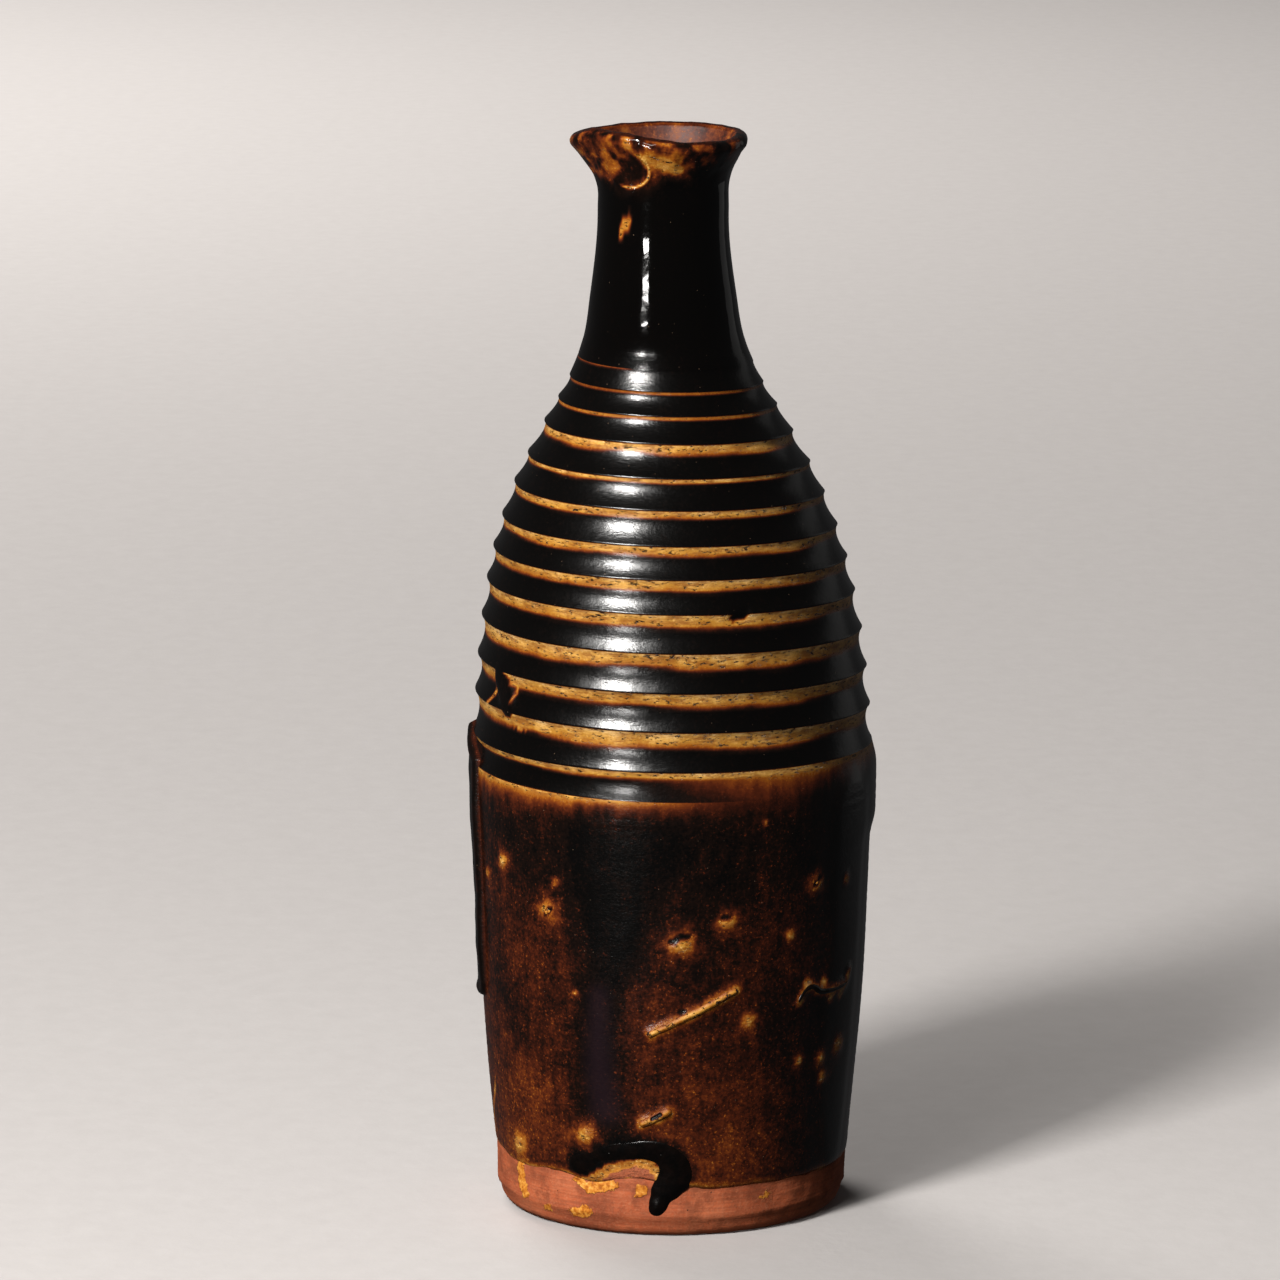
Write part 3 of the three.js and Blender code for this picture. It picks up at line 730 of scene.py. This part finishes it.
def clay_colour(m, flaking):
    """Red-brown clay with grit and throwing lines; `flaking` spreads ochre flakes of glaze over it."""
    clouds = m.noise(14, 3, 0.55, seed=41)
    grit = m.noise(0.6, 4, 0.65, seed=42)
    rings = m.noise(0.8, 3, 0.6, seed=43, place=m.stretched(0.05, 0.05, 1))
    base = m.ramp(clouds, [(0.32, (0.23, 0.044, 0.014)), (0.5, (0.36, 0.080, 0.027)),
                           (0.68, (0.46, 0.125, 0.050))])
    colour = m.mix(m.spread(grit, 0.40, 0.75, 0.0, 0.4), base, (0.44, 0.18, 0.09))
    colour = m.mix(m.spread(rings, 0.35, 0.62, 0.4, 0.0), colour, (0.15, 0.04, 0.018))
    stains = m.spread(m.noise(5.5, 5, 0.72, seed=47), 0.47, 0.64, 0.0, 0.55)
    colour = m.mix(stains, colour, (0.13, 0.032, 0.012))
    torn = m.plus(m.times(m.noise(3.2, 5, 0.68, seed=44), 0.9), flaking)
    flakes = m.spread(torn, 0.64, 0.68)
    shine = m.noise(1.4, 4, 0.7, seed=46)
    ochre = m.ramp(shine, [(0.32, (0.16, 0.035, 0.006)), (0.46, (0.42, 0.13, 0.012)),
                           (0.6, (0.62, 0.27, 0.045)), (0.75, (0.72, 0.42, 0.13))])
    colour = m.mix(flakes, colour, ochre)
    dots = m.times(m.dots(2.2, 45, 0.10), m.spread(clouds, 0.42, 0.5))
    colour = m.mix(m.times(dots, 0.8), colour, (0.03, 0.010, 0.008))
    return colour, flakes, grit, rings, dots


def make_dark_glaze():
    m = Material("dark_glaze")
    thin, mottle, gloss = m.attribute("thin"), m.attribute("mottle"), m.attribute("gloss")
    colour, value, grain = glaze_colour(m, thin, mottle)
    # dark pits and long scratches in the thin glaze, with a brown stain round them
    amber = m.spread(value, 0.58, 0.76)
    pits = m.spread(m.noise(0.8, 4, 0.74, seed=5, place=m.stretched(0.5, 0.5, 1.3)), 0.37, 0.44, 1.0, 0.0)
    stain = m.noise(2.2, 5, 0.74, seed=4, place=m.stretched(0.45, 0.45, 1.6))
    stain = m.times(m.spread(stain, 0.38, 0.60, 0.8, 0.0), amber)
    colour = m.mix(stain, colour, (0.20, 0.062, 0.010))
    pits = m.times(pits, amber)
    colour = m.mix(pits, colour, PIT_COLOUR)
    # pale dust specks fired into the pools
    specks = m.times(m.dots(1.3, 6, 0.13), m.spread(m.noise(7, 2, seed=7), 0.42, 0.56))
    colour = m.mix(m.times(specks, 0.34), colour, (0.30, 0.19, 0.12))
    # painted sheen: a faint violet sheen on the front run is mixed into the glaze colour
    colour = m.mix(m.times(m.attribute("painted_violet_sheen"), 0.22), colour, (0.034, 0.015, 0.022))
    bare = m.attribute("bare")
    clay, _, grit, _, _ = clay_colour(m, 0.0)
    rim = m.times(bare, m.math("SUBTRACT", 1.0, bare))
    clay = m.mix(m.spread(rim, 0.02, 0.2), clay, (0.55, 0.20, 0.02))
    colour = m.mix(bare, colour, clay)
    rough = m.plus(gloss, m.spread(value, 0.35, 0.9, 0.0, 0.14))
    rough = m.plus(rough, m.swing(grain, 0.10), clamp=True)
    rough = m.scaled(bare, 0.4, rough, clamp=True)
    peel = m.times(m.noise(0.55, 3, 0.6, seed=9), m.spread(gloss, 0.05, 0.2, 0.12, 1.0))
    peel = m.times(peel, m.spread(mottle, 0.4, 1.1, 1.3, 2.4))
    drag = m.noise(0.8, 3, 0.7, seed=5, place=m.stretched(0.5, 0.5, 1.3))
    drag = m.times(drag, m.spread(gloss, 0.05, 0.2))
    pits = m.plus(pits, m.times(bare, grit))
    normal = m.bumps((m.noise(7.0, 2, seed=8), 0.12), (peel, 0.024), (drag, 0.05), (pits, -0.22))
    return m.finish(colour, rough, normal, level=0.45)


def make_black_glaze():
    m = Material("black_glaze")
    thin = m.spread(m.noise(2.4, 3, seed=11), 0.3, 0.8, 0.0, 0.10)
    colour, _, grain = glaze_colour(m, thin, 0.10)
    specks = m.dots(1.3, 12, 0.12)
    colour = m.mix(m.times(specks, 0.45), colour, (0.20, 0.19, 0.18))
    rough = m.scaled(grain, 0.15, 0.16)
    normal = m.bumps((m.noise(2.6, 2, seed=13), 0.14), (m.noise(0.7, 3, seed=14), 0.035))
    return m.finish(colour, rough, normal, level=0.3)


def make_inner_glaze_material():
    m = Material("inner_glaze")
    height = m.add("SeparateXYZ", Vector=m.place).outputs["Z"]
    # painted shade: the lining's glaze is drawn darker the deeper it lies down the neck
    painted_shade_down_neck = m.spread(height, 226, 262, 0.26, 0.50)
    colour, _, grain = glaze_colour(m, painted_shade_down_neck, 0.45)
    rough = m.scaled(grain, 0.2, 0.62)
    normal = m.bumps((m.noise(3.0, 3, seed=15), 0.15))
    return m.finish(colour, rough, normal, level=0.04)


def make_thin_glaze():
    m = Material("thin_glaze")
    thin = m.times(m.attribute("thin"), m.spread(m.noise(2.6, 3, seed=21), 0.25, 0.75, 0.82, 1.04))
    colour, _, grain = glaze_colour(m, thin, 0.30)
    pits = m.spread(m.noise(1.3, 4, 0.74, seed=23), 0.40, 0.46, 1.0, 0.0)
    colour = m.mix(pits, colour, PIT_COLOUR)
    rough = m.scaled(grain, 0.2, 0.42)
    normal = m.bumps((m.noise(0.9, 3, seed=22), 0.16), (pits, -0.3))
    return m.finish(colour, rough, normal, level=0.22)


def make_stone_material():
    m = Material("stone")
    spots = m.noise(0.9, 3, seed=31)
    colour = m.ramp(spots, [(0.30, (0.10, 0.022, 0.004)), (0.45, (0.38, 0.13, 0.015)),
                            (0.6, (0.55, 0.25, 0.045)), (0.8, (0.70, 0.42, 0.14))])
    cracks = m.noise(1.5, 3, 0.7, seed=33, place=m.stretched(0.45, 0.45, 1.5))
    cracks = m.spread(cracks, 0.40, 0.45, 1.0, 0.0)
    colour = m.mix(cracks, colour, PIT_COLOUR)
    normal = m.bumps((m.noise(0.5, 4, seed=32), 0.10), (cracks, -0.3))
    rough = m.scaled(spots, 0.2, 0.22)
    return m.finish(colour, rough, normal, level=0.3)


def make_bare_clay():
    m = Material("bare_clay")
    colour, flakes, grit, rings, dots = clay_colour(m, m.attribute("flaking"))
    rough = m.math("SUBTRACT", 0.78, m.times(flakes, 0.38))
    normal = m.bumps((grit, 0.12), (rings, 0.10), (flakes, 0.22), (dots, -0.35))
    return m.finish(colour, rough, normal, level=0.3)


# ---- Clay, lining and applied pieces ---------------------------------------------------------------

def make_clay_body():
    angle = 180 + 360 * np.linspace(0, 1, 289)
    inset = 0.35
    profile = [(0, 0), (20, 0), (36, 0), (40.4, 0.05), (41.4, 0.4), (42.3, 1.2), (42.9, 2.4), (43.2, 4.2)]
    profile += [(float(outside_radius(GLAZE_LINE)) - inset - 0.02 * (GLAZE_LINE - z), z)
                for z in np.linspace(5.0, 15.4, 14)]
    heights = [16.6, 18, 24, 40, 60, 84, 112, 135, 160, 185, 200, 212, 222, 235, 250, 258, 264]
    profile += [(float(outside_radius(z)) - skin_depth(z) - 0.3, z) for z in heights]
    profile += [(LIP_RADIUS, HEIGHT - LIP_BEAD + 1.2), (LIP_RADIUS - 1.2, HEIGHT - LIP_BEAD)]
    inside = list(zip(INSIDE_RADII, INSIDE_HEIGHTS))[::-1]
    profile += [(r + 0.9, z) for r, z in inside] + [(35, 10.2), (26, 8), (0, 7.7)]
    rows, flaking = [], []
    for radius, height in profile:
        base = turned(angle, radius, height)
        worn = 0.20 * field(base, 7, 51, 2) + 0.10 * field(base, 1.8, 52)
        is_foot = 1 if 0.02 < height < 16 and radius > 38 else 0
        patch = np.min([stroke(angle, height, path) for path in FLAKES], axis=0)
        cover = 0.40 * falloff(-1.6, 2.2, patch) * is_foot
        rows.append(settle(angle, radius + (worn + 0.25 * cover) * is_foot, height))
        flaking.append(cover)
    values = {"flaking": np.array(flaking)}
    return make_surface("clay_wall_and_foot", np.array(rows), values, closed=False)


def make_lining():
    angle = 180 + 360 * np.linspace(0, 1, 161)
    surface = smooth_curve(INSIDE_HEIGHTS + [265.6], INSIDE_RADII + [15.6])
    heights = np.concatenate([np.linspace(264.6, 222, 30), np.linspace(214, 22, 30)])
    floor = [(37.4, 16), (35.5, 11.5), (28, 9), (14, 8.7), (0, 8.6)]
    inner = [(float(surface(z)), z) for z in heights] + floor
    back_heights = (20, 60, 112, 150, 188, 222, 250, 262)
    outer = [(0, 8.1), (28, 8.4)] + [(float(surface(z)) + LINING_THICKNESS, z) for z in back_heights]
    rows = []
    for radius, height in inner:
        uneven = 0 if radius < 1 else 0.18 * field(turned(angle, radius, height), 9, 61)
        rows.append(settle(angle, radius + uneven, height))
    rows += [settle(angle, radius, height) for radius, height in outer]
    return make_surface("inner_glaze_lining", np.array(rows), {})


def make_patch(name, angles, heights, thickness, sink, values=None):
    """Closed shell over a stretch of wall: outer face at `thickness`, back face `sink` inside."""
    a, z = np.meshgrid(angles, heights)
    face = settle(a, outside_radius(z) + thickness, z)
    back = settle(a, outside_radius(z) - sink, z)
    points = np.concatenate([face.reshape(-1, 3), back.reshape(-1, 3)])
    grid = np.arange(a.size).reshape(a.shape)
    corners = np.stack([grid[:-1, :-1], grid[:-1, 1:], grid[1:, 1:], grid[1:, :-1]], -1).reshape(-1, 4)
    rim = np.concatenate([grid[0], grid[1:, -1], grid[-1, -2::-1], grid[-2:0:-1, 0]])
    following = np.roll(rim, -1)
    sides = np.stack([following, rim, rim + a.size, following + a.size], -1)
    faces = np.concatenate([corners, corners[:, ::-1] + a.size, sides]).tolist()
    doubled = {key: np.concatenate([value.reshape(-1)] * 2) for key, value in (values or {}).items()}
    return add_shape(name, points, faces, doubled)


def make_tear():
    """Black tear of glaze: an arch with two ends that hangs down over the bare foot."""
    angles = np.linspace(-128, -80, 150)
    heights = np.linspace(4.8, 27, 90)
    a, z = np.meshgrid(angles, heights)
    inside = -stroke(a, z, TEAR)
    foot_step = -0.55 * falloff(GLAZE_LINE - 3.5, GLAZE_LINE + 1.0, z)
    inside = inside - 0.25 + 0.16 * np.sin(np.radians(a) * 31 + z * 0.9) * np.sin(z * 0.8 + 2)
    proud = 0.12 + 0.25 * smoothstep(-93, -88, a) + 0.75 * falloff(8, 17, z)
    body = np.sin(np.clip(inside / 2.6, 0, 1) * np.pi / 2) ** 0.8 * proud
    skirt = -0.8 + 0.90 * smoothstep(-1.2, 0, inside)
    thickness = foot_step + np.where(inside > 0, body + 0.10, skirt)
    return make_patch("foot_glaze_tear_run", angles, heights, thickness, 2.2)


def make_bar(name, path, proud):
    """Rounded bar of clay on the wall along a stroke, broken across by a slit."""
    low, high = np.min(path, axis=0) - 4, np.max(path, axis=0) + 4
    angles = np.linspace(low[0], high[0], 120)
    heights = np.linspace(low[1], high[1], 70)
    a, z = np.meshgrid(angles, heights)
    inside = -stroke(a, z, path)
    lump = 0.10 * np.sin(a * 0.9) * np.sin(z * 1.1 + 1)
    crest = np.sqrt(np.clip((inside + lump) / 1.1, 0, 1)) * proud
    slit = sum(0.55 * falloff(-0.2, 0.5, stroke(a, z, crack)) for crack in SLITS[-2:])
    thickness = np.where(inside > 0, crest - slit, -0.6 + 0.6 * smoothstep(-0.8, 0, inside))
    thin = np.clip(lerp(0.50, 0.80, smoothstep(-0.2, 0.8, inside)) - 1.8 * slit, 0, 1)
    return make_patch(name, angles, heights, thickness, 1.2, {"thin": thin})


def make_stone(name, node):
    """Angular grain in the place of its CAD stone."""
    low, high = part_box(node)
    centre = (low + high) / 2
    size = (high - low) / 2 * 0.92
    centre -= Vector((centre.x, centre.y, 0)).normalized() * 0.35 * MM
    seed = int(node[-2:])
    mesh = bpy.data.meshes.new(name)
    work = bmesh.new()
    bmesh.ops.create_icosphere(work, subdivisions=4, radius=1)
    for vertex in work.verts:
        p = vertex.co.copy()
        facets = max(p.dot(Vector((math.sin(seed + k * 2.4), math.cos(seed * 1.7 + k), math.sin(k * 1.9)))
                           .normalized()) for k in range(9))
        rough = 1 - 0.35 * max(0, facets - 0.80) + 0.07 * noise.noise(p * 2.1 + Vector((seed, 0, 0)))
        vertex.co = Vector((p.x * size.x, p.y * size.y, p.z * size.z)) * rough + centre
    work.to_mesh(mesh)
    work.free()
    return add_object(name, mesh)


def make_tablet():
    """Thin slab of clay pressed on the flank, with a raised border, rounded foot and pointed head."""
    centre, half_width, proud, wall_radius = 178, 14.5, 1.1, 49
    half_angle = math.degrees((half_width + 0.8) / wall_radius)
    angles = np.linspace(centre - half_angle, centre + half_angle, 110)
    heights = np.linspace(TABLET_LOW - 0.8, TABLET_HIGH + 0.4, 200)
    a, z = np.meshgrid(angles, heights)
    x = np.radians(a - centre) * wall_radius
    corner = 5.0
    bottom = np.hypot(np.maximum(np.abs(x) - (half_width - corner), 0),
                      np.maximum((TABLET_LOW + corner) - z, 0)) - corner
    head = (z - (TABLET_HIGH - 7 * np.abs(x) / half_width)) * 0.916
    inside = -np.maximum(np.maximum(bottom, np.abs(x) - half_width), head)
    edge = smoothstep(-0.4, 0.9, inside)
    border = 0.45 * np.exp(-((inside - 1.9) / 1.1) ** 2)
    places = np.stack([x, z, np.zeros_like(x)], axis=-1)
    uneven = 0.18 * np.sin(x * 0.5 + 1) * np.sin(z * 0.21) + 0.16 * field(places, 7, 29, 2)
    thickness = -0.7 + edge * (proud + 0.7 + border + uneven)
    rubbed = 0.20 * np.exp(-((inside - 1.9) / 0.5) ** 2) * (np.sin(z * 0.7 + x) > -0.2)
    thin = np.clip(0.08 + 0.30 * np.exp(-((inside - 0.1) / 0.35) ** 2) + rubbed, 0, 1)
    flat = np.ones_like(thin)
    values = {"thin": thin, "mottle": 0.5 * flat, "gloss": 0.2 * flat, "bare": 0 * flat, "painted_violet_sheen": 0 * flat}
    return make_patch("side_tablet_slab", angles, heights, thickness, 1.6, values)


def give(piece, material, slot_name, *nodes):
    piece.data.materials.clear()
    piece.data.materials.append(material)
    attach(piece, "root")
    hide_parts(*nodes)


dark_glaze = make_dark_glaze()
black_glaze = make_black_glaze()
thin_glaze = make_thin_glaze()
stone_material = make_stone_material()

give(make_outer_glaze(), dark_glaze, "dark_glaze", "outer_glaze")
give(make_lining(), make_inner_glaze_material(), "inner_glaze", "inner_glaze")
give(make_clay_body(), make_bare_clay(), "bare_clay", "clay_body")
give(make_tablet(), dark_glaze, "dark_glaze", "side_tablet")
give(make_tear(), black_glaze, "black_glaze", "foot_glaze_tear")
give(make_bar("long_sliver_bar", LONG_SLIVER, 1.15), thin_glaze, "thin_glaze", "long_clay_sliver")
give(make_bar("short_sliver_bar", SHORT_SLIVER, 1.05), thin_glaze, "thin_glaze", "short_clay_sliver")
give(make_bar("raised_scar_line", SCAR, 1.15), black_glaze, "black_glaze", "raised_scar")
for node in sorted(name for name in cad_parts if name.startswith("stone_")):
    give(make_stone(f"{node}_grain", node), stone_material, "stone", node)


# ---- Floor, light and camera -----------------------------------------------------------------------

def make_floor():
    """Plain pale table top; its own shine is kept out of the dark glaze."""
    mesh = bpy.data.meshes.new("floor")
    half = 8.0
    corners = [(-half, -half, 0), (half, -half, 0), (half, half, 0), (-half, half, 0)]
    mesh.from_pydata(corners, [], [(0, 1, 2, 3)])
    floor = put_in_scene("floor", mesh)
    m = Material("floor")
    cloud = m.noise(8, 4, 0.6, seed=71)
    colour = m.ramp(cloud, [(0.3, (0.380, 0.360, 0.352)), (0.7, (0.400, 0.380, 0.372))])
    mesh.materials.append(m.finish(colour, 0.75, m.bumps((m.noise(3, 3, seed=72), 0.1))))
    floor.visible_glossy = False
    floor.visible_diffuse = False


def add_light(name, place, size, watts, aim=(0, 0, HEIGHT * MM / 2), shows_in_glaze=True):
    """Rectangular softbox at a place, aimed at the bottle's middle and hidden from the camera."""
    data = bpy.data.lights.new(name, "AREA")
    data.shape = "RECTANGLE"
    data.size, data.size_y = size
    data.energy = watts
    data.color = (1.0, 0.98, 0.95)
    light = put_in_scene(name, data)
    light.location = place
    light.rotation_euler = (Vector(aim) - Vector(place)).to_track_quat("-Z", "Y").to_euler()
    light.visible_camera = False
    light.visible_glossy = shows_in_glaze


def from_bottle(azimuth, elevation, distance):
    """Place seen from the middle of the bottle; azimuth 0 is the camera's side, minus is its left."""
    turn, rise = math.radians(azimuth), math.radians(elevation)
    flat = distance * math.cos(rise)
    return flat * math.sin(turn), -flat * math.cos(turn), HEIGHT * MM / 2 + distance * math.sin(rise)


def make_camera():
    elevation = math.radians(10.8)
    distance = 1.778
    target = Vector((0, 0, 0.1426))
    data = bpy.data.cameras.new("camera")
    data.lens = 200
    data.sensor_width = 36
    data.shift_x = -0.0242
    camera = put_in_scene("camera", data)
    back = Vector((0, -math.cos(elevation), math.sin(elevation)))
    camera.location = target + back * distance
    camera.rotation_euler = (-back).to_track_quat("-Z", "Y").to_euler()
    bpy.context.scene.camera = camera


def make_world():
    world = bpy.data.worlds.new("studio")
    world.use_nodes = True
    background = world.node_tree.nodes["Background"]
    background.inputs["Color"].default_value = (0.92, 0.91, 0.92, 1)
    background.inputs["Strength"].default_value = 0.05
    bpy.context.scene.world = world


make_floor()
make_camera()
make_world()
add_light("softbox", from_bottle(-35, 37, 1.55), (0.27, 0.36), 42)
add_light("softbox_spill", from_bottle(-35, 37, 1.6), (0.95, 0.32), 8)
add_light("lower_strip", from_bottle(-29, 5.6, 1.5), (0.2, 0.1), 5.4)
add_light("upper_strip", from_bottle(-29, 10.9, 1.5), (0.23, 0.022), 1.7)
add_light("edge_panel", from_bottle(125, 8, 1.4), (0.5, 1.0), 0.22)
add_light("floor_light", (-1.2, 2.4, 2.2), (1.5, 1.5), 150, aim=(-1.2, 2.4, 0), shows_in_glaze=False)
bpy.context.scene.view_settings.view_transform = "Standard"
